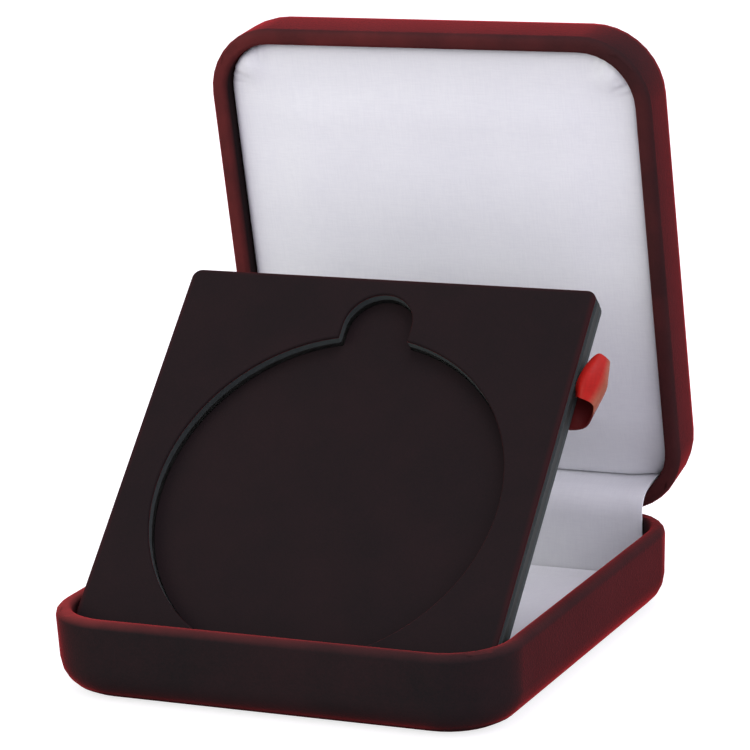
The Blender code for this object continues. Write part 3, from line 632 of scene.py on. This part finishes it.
# The swollen cover's edge, drawn in along the walls of the lid.
WALL_HALF_WIDTH = 43.6
WALL_FRONT = -95.7
WALL_REAR = -2.5
WALL_CORNER = 10.65
STRIP_GAP = 0.1
PAD_LOOSE = 5.0
PAD_EDGE_FACE = 2.95
PAD_ROLL = 1.4
PAD_CROWN_REACH = 12.0
PAD_STILL = 3
PAD_FADE = 4
PAD_REAR_DROP = 2.0
PAD_REAR_DROP_FROM = -19
PAD_REAR_DROP_REACH = 14
PAD_WAVE = 0.10
PAD_WAVE_WIDTH = 17
PAD_CORNER_Y = -85.05
PAD_CORNER_RISE = 1.3
PAD_RISE_FROM = 3.0
PAD_RISE_REACH = 6
PAD_PUCKERS = ((-0.56, 0.30), (-0.38, 0.55), (-0.20, 0.18), (0.12, 0.15), (0.33, 0.50),
               (0.50, 0.35))
PAD_PUCKER_FROM = 5.0
PAD_PUCKER_REACH = 3
PAD_PUCKER_WIDTH = 0.055

FOAM_WHITE = (0.72, 0.70, 0.64, 1)
FOAM_SHADED = (0.60, 0.58, 0.52, 1)
FOAM_INSET = 1.5
FOAM_FACE_DROP = 2.4
FOAM_BACK_GAP = 0.25
FOAM_VOXEL = 2.4
UPRIGHT = 0.2 * MM


def open_lid(piece):
    """Turns a piece that was made in the closed lid to where the lid stands open."""
    piece.data.transform(Matrix.Translation(LID_PIVOT) @ Matrix.Rotation(-LID_OPEN, 4, "X"))


def set_in_mesh(piece):
    """Puts a piece's place, turn and size into its mesh."""
    hold(piece)
    bpy.ops.object.transform_apply(location=True, rotation=True, scale=True)


def add_block(name, low, high):
    """A block between two corners, in millimetres."""
    nothing_selected()
    middle = [(a + b) / 2 * MM for a, b in zip(low, high)]
    bpy.ops.mesh.primitive_cube_add(size=1, location=middle)
    piece = name_new(name)
    piece.scale = [(b - a) * MM for a, b in zip(low, high)]
    set_in_mesh(piece)
    return piece


def is_upright(a, b):
    """Whether an edge between two places stands up in a piece that lies flat."""
    return abs(a.z - b.z) > UPRIGHT


def bevel_picked(radius, segments):
    """Rounds what is selected by a radius in millimetres, and leaves edit mode."""
    bpy.ops.mesh.bevel(offset=radius * MM, segments=segments)
    bpy.ops.object.mode_set(mode="OBJECT")


def pad_block(name, smaller, face, back, voxel):
    """A block that follows the lid's walls, cut straight before the hinge, its face rounded."""
    piece = add_block(name, (smaller - PAD_HALF_WIDTH, PAD_FRONT + smaller, face),
                      (PAD_HALF_WIDTH - smaller, PAD_REAR - smaller, back))
    pick(piece, "EDGE", is_upright)
    bpy.ops.mesh.bevel(offset=(PAD_CORNER - smaller) * MM, segments=PAD_CORNER_SEGMENTS)
    bpy.ops.mesh.select_all(action="SELECT")
    bpy.ops.mesh.bisect(plane_co=(0, (PAD_CUT - smaller) * MM, 0), plane_no=(0, 1, 0),
                        use_fill=True, clear_outer=True)
    bpy.ops.object.mode_set(mode="OBJECT")
    before_cut = (PAD_CUT - smaller - PAD_CUT_MARGIN) * MM
    pick(piece, "EDGE", lambda a, b: is_upright(a, b) and a.y > before_cut)
    bevel_picked(PAD_CUT_RADIUS, PAD_CUT_SEGMENTS)
    pick(piece, "FACE", lambda normal: normal.z < -0.9)
    bevel_picked(PAD_EDGE, PAD_EDGE_SEGMENTS)
    finish_with(piece, "REMESH", mode="VOXEL", voxel_size=voxel * MM)
    return piece


def swell(piece, pressure, cap, held):
    """Blows a closed cover up as cloth, and lets no point move further than the cap."""
    before = [vertex.co.copy() for vertex in piece.data.vertices]
    glued = piece.vertex_groups.new(name="glued")
    glued.add([vertex.index for vertex in piece.data.vertices if held(vertex.co)], 1.0, "REPLACE")
    cloth = piece.modifiers.new("cloth", "CLOTH")
    cloth.settings.use_pressure = True
    cloth.settings.uniform_pressure_force = pressure
    cloth.settings.vertex_group_mass = "glued"
    cloth.settings.effector_weights.gravity = 0
    cloth.collision_settings.use_collision = False
    cloth.point_cache.frame_start = 1
    cloth.point_cache.frame_end = PAD_FRAMES
    for number in range(1, PAD_FRAMES + 1):
        bpy.context.scene.frame_set(number)
    bpy.context.view_layer.objects.active = piece
    bpy.ops.object.modifier_apply(modifier=cloth.name)
    bpy.context.scene.frame_set(1)
    piece.vertex_groups.clear()
    for vertex, start in zip(piece.data.vertices, before):
        move = vertex.co - start
        if move.length > cap:
            vertex.co = start + move * (cap / move.length)


def drawn_tight(inward, depth):
    """Where the loose edge of the swollen cover goes when it is drawn round the foam's corner.

    Both are in millimetres: the way in from the pad's outline, and the depth in the lid.
    """
    if inward >= PAD_LOOSE and depth < PAD_EDGE_FACE + PAD_LOOSE:
        crown = smooth_step((inward - PAD_LOOSE) / PAD_CROWN_REACH)
        return inward, PAD_EDGE_FACE + (min(depth, PAD_EDGE_FACE) - PAD_EDGE_FACE) * crown
    if depth >= PAD_EDGE_FACE + PAD_LOOSE:
        return inward, depth
    angle = math.atan2(PAD_LOOSE - inward, PAD_EDGE_FACE + PAD_LOOSE - depth)
    along_face = PAD_LOOSE - PAD_LOOSE * math.tan(min(angle, math.pi / 4))
    if angle < math.pi / 4 and along_face >= PAD_ROLL:
        return along_face, PAD_EDGE_FACE
    down_side = PAD_LOOSE - PAD_LOOSE / math.tan(max(angle, math.pi / 4))
    if angle > math.pi / 4 and down_side >= PAD_ROLL:
        return 0.0, PAD_EDGE_FACE + down_side
    square = PAD_LOOSE - PAD_ROLL
    middle = square * (math.sin(angle) + math.cos(angle))
    reach = middle + math.sqrt(middle ** 2 - 2 * square ** 2 + PAD_ROLL ** 2)
    return (PAD_LOOSE - reach * math.sin(angle),
            PAD_EDGE_FACE + PAD_LOOSE - reach * math.cos(angle))


def way_out(x, y):
    """How far (x, y) is inside the lid's walls, and the way to the nearest place on them."""
    middle_y, half_depth = (WALL_FRONT + WALL_REAR) / 2, (WALL_REAR - WALL_FRONT) / 2
    over_x = abs(x) - WALL_HALF_WIDTH + WALL_CORNER
    over_y = abs(y - middle_y) - half_depth + WALL_CORNER
    side_x, side_y = math.copysign(1, x), math.copysign(1, y - middle_y)
    if over_x > 0 and over_y > 0:
        reach = math.hypot(over_x, over_y)
        inward, out = WALL_CORNER - reach, (side_x * over_x / reach, side_y * over_y / reach)
    elif over_x > over_y:
        inward, out = WALL_CORNER - over_x, (side_x, 0)
    else:
        inward, out = WALL_CORNER - over_y, (0, side_y)
    strip_face = STRIP_Y - CLOTH_THICKNESS / 2 - STRIP_GAP - wall_bow(x)
    if strip_face - y < inward:
        inward, out = strip_face - y, (0, 1)
    return inward, out


def corner_depth(x, y, z, face):
    """The depth of a place in the pad's face, where its far corners rise and are puckered."""
    corner_x, corner_y = abs(x) - CORNER_CENTRE_X, PAD_CORNER_Y - y
    if corner_x <= 0 or corner_y <= 0:
        return z
    turn = math.atan2(corner_y, corner_x) - math.pi / 4
    reach = math.hypot(corner_x, corner_y)
    z -= (PAD_CORNER_RISE * face * math.cos(2 * turn) ** 2
          * smooth_step((reach - PAD_RISE_FROM) / PAD_RISE_REACH))
    pull = smooth_step((reach - PAD_PUCKER_FROM) / PAD_PUCKER_REACH) * face
    for pucker, depth in PAD_PUCKERS:
        off = (turn * math.copysign(1, x) - pucker) / PAD_PUCKER_WIDTH
        z += depth * pull * math.exp(-off ** 2)
    return z


def draw_in_pad(piece):
    """Draws the swollen cover in along the lid's walls, and shapes its face.

    The face sinks towards the hinge, and rises and puckers at its far corners.
    """
    for vertex in piece.data.vertices:
        x, y, z = (value / MM for value in vertex.co)
        inward, out = way_out(x, y)
        kept, z = drawn_tight(max(inward, 0.0), z)
        x += out[0] * (inward - kept)
        y += out[1] * (inward - kept)
        face = smooth_step((PAD_BACK - PAD_STILL - z) / PAD_FADE)
        z += PAD_REAR_DROP * face * smooth_step((y - PAD_REAR_DROP_FROM) / PAD_REAR_DROP_REACH)
        z += PAD_WAVE * face * noise.noise((x / PAD_WAVE_WIDTH, y / PAD_WAVE_WIDTH, 1.0))
        z = min(corner_depth(x, y, z, face), PAD_BACK)
        vertex.co = (x * MM, y * MM, z * MM)


dress("lid_pad_card", grey_board)
white_foam = board_finish("white_foam", FOAM_WHITE, FOAM_SHADED)
pad_foam = pad_block("lid_pad_foam_sheet", FOAM_INSET, PAD_FACE + FOAM_FACE_DROP,
                     PAD_BACK - FOAM_BACK_GAP, FOAM_VOXEL)
pad = pad_block("lid_pad_cover", 0, PAD_FACE, PAD_BACK, PAD_VOXEL)
swell(pad, PAD_PRESSURE, PAD_CAP * MM, lambda co: co.z > (PAD_BACK - PAD_GLUED) * MM)
finish_with(pad, "SUBSURF", levels=1, render_levels=1)
draw_in_pad(pad)
for piece, finish, node_name, slot_name, fill in (
        (pad_foam, white_foam, "lid_pad_foam", "pad_foam", 0.9),
        (pad, white_satin, "lid_pad_satin", "satin", 0.8)):
    shade(piece, PAD_ANGLE)
    coat(piece, finish)
    open_lid(piece)
    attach(piece, "lid")
    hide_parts(node_name)
    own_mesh(piece)

# Insert
# A tray for the medal that lifts out: dark foam with a keyhole cut through it, burgundy velour
# glued on its face, a dark board behind it and velour in the bottom of the keyhole.
INSERT_TURN = math.radians(44.48)
INSERT_PIVOT = Vector((0, -41.288 * MM, 8.195 * MM))
INSERT_HALF_WIDTH = 42.7
INSERT_FRONT = -45.6
INSERT_REAR = 42.0
INSERT_FRONT_CORNER = 11.0
INSERT_FRONT_SEGMENTS = 14
INSERT_REAR_CORNER = 1.9
INSERT_REAR_SEGMENTS = 6
INSERT_ANGLE = 40
BOARD_BOTTOM = 6.2
BOARD_REAR_CORNER = 2.1
BOARD_EDGE = 0.2
BOARD_GLUE = 0.02
FOAM_BOTTOM = 7.72
FOAM_GLUE = 0.03
FACE_BOTTOM = 10.62
FACE_TOP = 11.2
FACE_EDGE = 0.42
EDGE_SEGMENTS = 3
SEAT_CENTRE = -6.2
SEAT_RADIUS = 35.3
SEAT_SIDES = 128
NOTCH_HALF_WIDTH = 7.25
NOTCH_TOP = 38.6
NOTCH_SIDES = 64
STEM_FRONT = 20
CUT_BOTTOM = 5
CUT_TOP = 13
RECESS_BOTTOM = 7.78
RECESS_TOP = 8.2
RECESS_GAP = 0.2
FOAM_DARK = (0.021, 0.027, 0.0275, 1)
FOAM_PORE = (0.013, 0.018, 0.019, 1)
INSERT_DEEP = (0.0138, 0.0106, 0.0110, 1)
INSERT_WORN = (0.0190, 0.0120, 0.0125, 1)
# A painted sheen along the face's edges, where the pile's tips catch the light.
INSERT_PAINTED_EDGE_SHEEN = (0.0300, 0.0108, 0.0116, 1)
INSERT_SHEEN = (0.6, 0.05, 0.05, 1)
SIDE_SHEEN_BAND = (1.1, 0.2)
REAR_SHEEN_BAND = (0.9, 0.1)
SHARP_ANGLE = 50
SAME_HEIGHT = 0.01


def lean_insert(piece):
    """Turns a piece that was made in the insert lying flat to where the insert leans."""
    move = Matrix.Translation(INSERT_PIVOT)
    turn = Matrix.Rotation(INSERT_TURN, 4, "X")
    piece.data.transform(move @ turn @ move.inverted())


def add_disc(radius, centre_y, low, high, sides):
    """A solid disc between two heights."""
    nothing_selected()
    bpy.ops.mesh.primitive_cylinder_add(vertices=sides, radius=radius * MM, depth=(high - low) * MM,
                                        location=(0, centre_y * MM, (low + high) / 2 * MM))
    return bpy.context.object


def keyhole(name, low, high, grow):
    """A solid keyhole between two heights: the medal's round seat with the eyelet's notch."""
    half = NOTCH_HALF_WIDTH + grow
    notch_centre = NOTCH_TOP + grow - half
    seat = add_disc(SEAT_RADIUS + grow, SEAT_CENTRE, low, high, SEAT_SIDES)
    notch = add_disc(half, notch_centre, low, high, NOTCH_SIDES)
    set_in_mesh(notch)
    set_in_mesh(seat)
    stem = add_block("stem", (-half, STEM_FRONT, low), (half, notch_centre, high))
    for other in (notch, stem):
        finish_with(seat, "BOOLEAN", operation="UNION", object=other, solver="EXACT")
        bpy.data.objects.remove(other)
    seat.name = name
    return seat


def board_shape(name, low, high, rear_radius):
    """A rectangle of the insert between two heights, its front corners rounded for the tray."""
    piece = add_block(name, (-INSERT_HALF_WIDTH, INSERT_FRONT, low),
                      (INSERT_HALF_WIDTH, INSERT_REAR, high))
    pick(piece, "EDGE", lambda a, b: is_upright(a, b) and a.y < 0)
    bevel_picked(INSERT_FRONT_CORNER, INSERT_FRONT_SEGMENTS)
    pick(piece, "EDGE", lambda a, b: is_upright(a, b) and a.y > 0)
    bevel_picked(rear_radius, INSERT_REAR_SEGMENTS)
    return piece


def round_edges(piece, height, radius):
    """Rounds every corner edge of a flat piece that lies at a height."""
    bpy.ops.object.mode_set(mode="EDIT")
    bpy.ops.mesh.select_mode(type="EDGE")
    bpy.ops.mesh.select_all(action="DESELECT")
    bpy.ops.mesh.edges_select_sharp(sharpness=math.radians(SHARP_ANGLE))
    bpy.ops.object.mode_set(mode="OBJECT")
    for edge in piece.data.edges:
        ends = [piece.data.vertices[i].co.z / MM for i in edge.vertices]
        edge.select = edge.select and all(abs(end - height) < SAME_HEIGHT for end in ends)
    bpy.ops.object.mode_set(mode="EDIT")
    bevel_picked(radius, EDGE_SEGMENTS)


def insert_edge_sheen(finish, place):
    """Painted sheen along the insert's sides and its top edge."""
    flat = turned_place(finish, place, INSERT_PIVOT, INSERT_TURN)
    side = [(INSERT_HALF_WIDTH - inset) * MM for inset in SIDE_SHEEN_BAND]
    rear = [(INSERT_REAR - inset) * MM - INSERT_PIVOT.y for inset in REAR_SHEEN_BAND]
    return maths(finish, "MAXIMUM", ramp(finish, maths(finish, "ABSOLUTE", flat["X"]), *side),
                 ramp(finish, flat["Y"], *rear))


dark_foam = board_finish("dark_foam", FOAM_DARK, FOAM_PORE)
insert_velour = pile_finish("insert_velour", INSERT_DEEP, INSERT_WORN, INSERT_PAINTED_EDGE_SHEEN, insert_edge_sheen,
                            Sheen_Weight=0.35, Sheen_Roughness=0.25, Sheen_Tint=INSERT_SHEEN,
                            Specular_IOR_Level=0.0)

cutter = keyhole("cutter", CUT_BOTTOM, CUT_TOP, 0)
board = board_shape("insert_board", BOARD_BOTTOM, FOAM_BOTTOM - BOARD_GLUE, BOARD_REAR_CORNER)
round_edges(board, BOARD_BOTTOM, BOARD_EDGE)
foam = board_shape("insert_foam_block", FOAM_BOTTOM, FACE_BOTTOM - FOAM_GLUE, INSERT_REAR_CORNER)
finish_with(foam, "BOOLEAN", operation="DIFFERENCE", object=cutter, solver="EXACT")
face = board_shape("insert_face", FACE_BOTTOM, FACE_TOP, INSERT_REAR_CORNER)
finish_with(face, "BOOLEAN", operation="DIFFERENCE", object=cutter, solver="EXACT")
round_edges(face, FACE_TOP, FACE_EDGE)
bpy.data.objects.remove(cutter)
recess = keyhole("insert_recess", RECESS_BOTTOM, RECESS_TOP, -RECESS_GAP)
for piece, finish, node_name, slot_name in (
        (board, dark_foam, "insert_back_board", "back_board"),
        (foam, dark_foam, "insert_foam", "insert_foam"),
        (face, insert_velour, "insert_face_velour", "insert_velour"),
        (recess, insert_velour, "insert_recess_velour", "insert_velour")):
    shade(piece, INSERT_ANGLE)
    finish_with(piece, "WEIGHTED_NORMAL", weight=FLAT_FACE_WEIGHT)
    lean_insert(piece)
    coat(piece, finish)
    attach(piece, "insert")
    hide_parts(node_name)

# Ribbon pull
# A short loop of red satin ribbon to lift the insert by: glued flat under the board, brought out
# at the right edge and folded back on itself, its top end pinched and its lower end open.
RIBBON_LIGHT = (1, 1, 1, 1)
RIBBON_SHADED = (0.72, 0.72, 0.72, 1)
RIBBON_THREAD_SCALE = 2600.0
# The ribbon's own red, then a painted highlight along its fold and painted shade inside the loop.
RIBBON_FRONT = (0.370, 0.0085, 0.0050, 1)
RIBBON_FOLD_HIGHLIGHT = (0.300, 0.0850, 0.0480, 1)
RIBBON_INSIDE_SHADE = (0.085, 0.0060, 0.0060, 1)
RIBBON_RED_AND_PAINTED_LIGHT = ((0.0, RIBBON_FRONT), (0.25, RIBBON_FRONT), (0.31, RIBBON_FOLD_HIGHLIGHT),
                (0.37, RIBBON_FOLD_HIGHLIGHT), (0.42, RIBBON_INSIDE_SHADE))
RIBBON_COLUMNS = 60
RIBBON_ROWS = 22
RIBBON_THICKNESS = 0.22
# Points from the loop's open lower end to its pinched top, each row from the front, round the
# fold and back under the board: (x, distance up the insert, height over its pivot).
RIBBON_NET = (
    ((43.1, 61.6, -0.3), (44.4, 60.7, 1.2), (47.4, 59.3, 0.6), (46.0, 56.6, -2.0),
     (42.9, 55.8, -2.6), (40.6, 56.2, -2.3), (31.0, 56.2, -2.3)),
    ((42.9, 63.9, 0.8), (45.2, 63.2, 2.1), (48.6, 63.6, 0.3), (46.1, 60.8, -2.4),
     (42.9, 60.3, -2.6), (40.6, 60.4, -2.3), (31.0, 60.4, -2.3)),
    ((43.5, 67.1, 0.9), (45.9, 67.0, 2.0), (48.4, 66.2, 0.2), (46.1, 65.0, -1.6),
     (43.0, 64.8, -2.5), (40.6, 64.6, -2.3), (31.0, 64.6, -2.3)),
    ((44.0, 70.0, -0.1), (45.7, 70.9, 0.5), (47.8, 69.6, -0.1), (46.1, 69.6, -1.1),
     (43.3, 69.0, -2.3), (40.6, 68.8, -2.3), (31.0, 68.8, -2.3)),
)


def through(points, share):
    """A place on the smooth curve through a row of points, from 0 at the first to 1 at the last."""
    last = len(points) - 1
    place = share * last
    at = min(int(place), last - 1)
    t = place - at
    a, b, c, d = (Vector(points[max(0, min(last, at + k))]) for k in (-1, 0, 1, 2))
    return 0.5 * (2 * b + (c - a) * t + (2 * a - 5 * b + 4 * c - d) * t ** 2
                  + (3 * b - a - 3 * c + d) * t ** 3)


ribbon_satin = satin_finish("ribbon_satin", RIBBON_LIGHT, RIBBON_SHADED, RIBBON_THREAD_SCALE,
                            Specular_IOR_Level=0.15)
ribbon_shader = ribbon_satin.node_tree.nodes["Principled BSDF"]
ribbon_weave = ribbon_shader.inputs["Base Color"].links[0].from_socket
unrolled = node_on(ribbon_satin, "ShaderNodeTexCoord").outputs["UV"]
along_ribbon = node_on(ribbon_satin, "ShaderNodeSeparateXYZ", None, Vector=unrolled).outputs["X"]
# Painted light round the loop: a highlight on the fold and shade inside.
red_and_painted_light = node_on(ribbon_satin, "ShaderNodeValToRGB", None, Fac=along_ribbon)
stops = red_and_painted_light.color_ramp.elements
for position, colour in RIBBON_RED_AND_PAINTED_LIGHT:
    stop = stops.new(position) if position else stops[0]
    stop.color = colour
stops[-1].color = RIBBON_INSIDE_SHADE
woven_red_and_painted_light = node_on(ribbon_satin, "ShaderNodeMix", {"data_type": "RGBA", "blend_type": "MULTIPLY"},
               i0=1.0, i6=red_and_painted_light.outputs["Color"], i7=ribbon_weave)
feed(ribbon_satin, ribbon_shader, Base_Color=woven_red_and_painted_light.outputs[2])
ribbon = add_grid("ribbon_loop", RIBBON_COLUMNS, RIBBON_ROWS)
for vertex in ribbon.data.vertices:
    around, along = vertex.co.x + 0.5, vertex.co.y + 0.5
    x, y, z = through([through(row, around) for row in RIBBON_NET], along)
    vertex.co = (x * MM, y * MM + INSERT_PIVOT.y, z * MM + INSERT_PIVOT.z)
bpy.ops.object.mode_set(mode="EDIT")
bpy.ops.mesh.select_all(action="SELECT")
bpy.ops.mesh.normals_make_consistent(inside=False)
bpy.ops.object.mode_set(mode="OBJECT")
finish_with(ribbon, "SOLIDIFY", thickness=RIBBON_THICKNESS * MM, offset=0)
shade(ribbon, CLOTH_ANGLE)
lean_insert(ribbon)
coat(ribbon, ribbon_satin)
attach(ribbon, "insert")
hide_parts("ribbon_pull")
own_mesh(ribbon)

# Floor, light and camera
# A white paper sweep under an even, faintly violet sky, with a soft box overhead and three round
# the case. The paper throws little light back on the case, as in the photograph, but shows white.
SWEEP_WIDTH = 12
PAPER_GREY = (0.50, 0.49, 0.50, 1)
PAPER_ROUGHNESS = 0.9
PAPER_GLOW = 0.74
SHOWN_WHITE = (1, 1, 1, 1)
SKY_TINT = (0.893, 0.845, 1.0, 1)
SKY_STRENGTH = 0.98
CAMERA_PLACE = (0.288735, -0.615126, 0.218490)
CAMERA_TURN = (1.332113, 0.041419, 0.424499)
CAMERA_LENS = 175.99
# Each soft box has its place, what it points at, its width, its power and its colour.
SOFT_BOXES = {
    "overhead": ((0.05, 0.05, 0.95), (0, 0, 0.03), 0.5, 2.9, (1.0, 0.93, 1.0)),
    "front_left": ((-0.45, -0.42, 0.30), (0, 0.03, 0.06), 0.4, 1.5, (0.93, 1.0, 0.80)),
    "right": ((0.9, -0.5, 0.5), (0, 0.03, 0.04), 0.6, 2.3, (0.93, 0.95, 1.0)),
    "right_rear": ((0.75, 0.60, 0.50), (0, 0.03, 0.04), 0.6, 2.7, (0.98, 0.97, 1.0)),
}


def seen_directly(finish):
    """1 where the camera, a mirror or glass looks at a surface, and 0 for the light it gives."""
    path = node_on(finish, "ShaderNodeLightPath")
    share = path.outputs["Is Camera Ray"]
    for ray in ("Is Glossy Ray", "Is Transmission Ray"):
        share = maths(finish, "MAXIMUM", share, path.outputs[ray])
    return share


sweep = add_plane("floor")
sweep.scale = (SWEEP_WIDTH, SWEEP_WIDTH, 1)
set_in_mesh(sweep)
paper, paper_shader = new_finish("white_paper", PAPER_ROUGHNESS, Base_Color=PAPER_GREY,
                                 Specular_IOR_Level=0.0)
glow = node_on(paper, "ShaderNodeEmission", None, Color=SHOWN_WHITE,
               Strength=maths(paper, "MULTIPLY", seen_directly(paper), PAPER_GLOW))
lit_paper = node_on(paper, "ShaderNodeAddShader", None, i0=paper_shader.outputs[0],
                    i1=glow.outputs[0])
feed(paper, paper.node_tree.nodes["Material Output"], Surface=lit_paper.outputs[0])
coat(sweep, paper)

sky = bpy.data.worlds.new("studio")
bpy.context.scene.world = sky
sky.use_nodes = True
feed(sky, sky.node_tree.nodes["Background"],
     Color=blend_colours(sky, seen_directly(sky), SKY_TINT, SHOWN_WHITE),
     Strength=ramp(sky, seen_directly(sky), 0.0, 1.0, SKY_STRENGTH, 1.0))

for name, (place, aim, width, power, colour) in SOFT_BOXES.items():
    nothing_selected()
    bpy.ops.object.light_add(type="AREA", location=place)
    lamp = bpy.context.object
    lamp.name = name
    lamp.data.shape = "SQUARE"
    lamp.data.size = width
    lamp.data.energy = power
    lamp.data.color = colour
    lamp.rotation_euler = (Vector(aim) - Vector(place)).to_track_quat("-Z", "Y").to_euler()

nothing_selected()
bpy.ops.object.camera_add(location=CAMERA_PLACE, rotation=CAMERA_TURN)
camera = bpy.context.object
camera.name = "camera"
camera.data.lens = CAMERA_LENS
camera.data.sensor_width = 36
camera.data.clip_start = 0.01
bpy.context.scene.camera = camera
bpy.context.scene.view_settings.view_transform = "Standard"
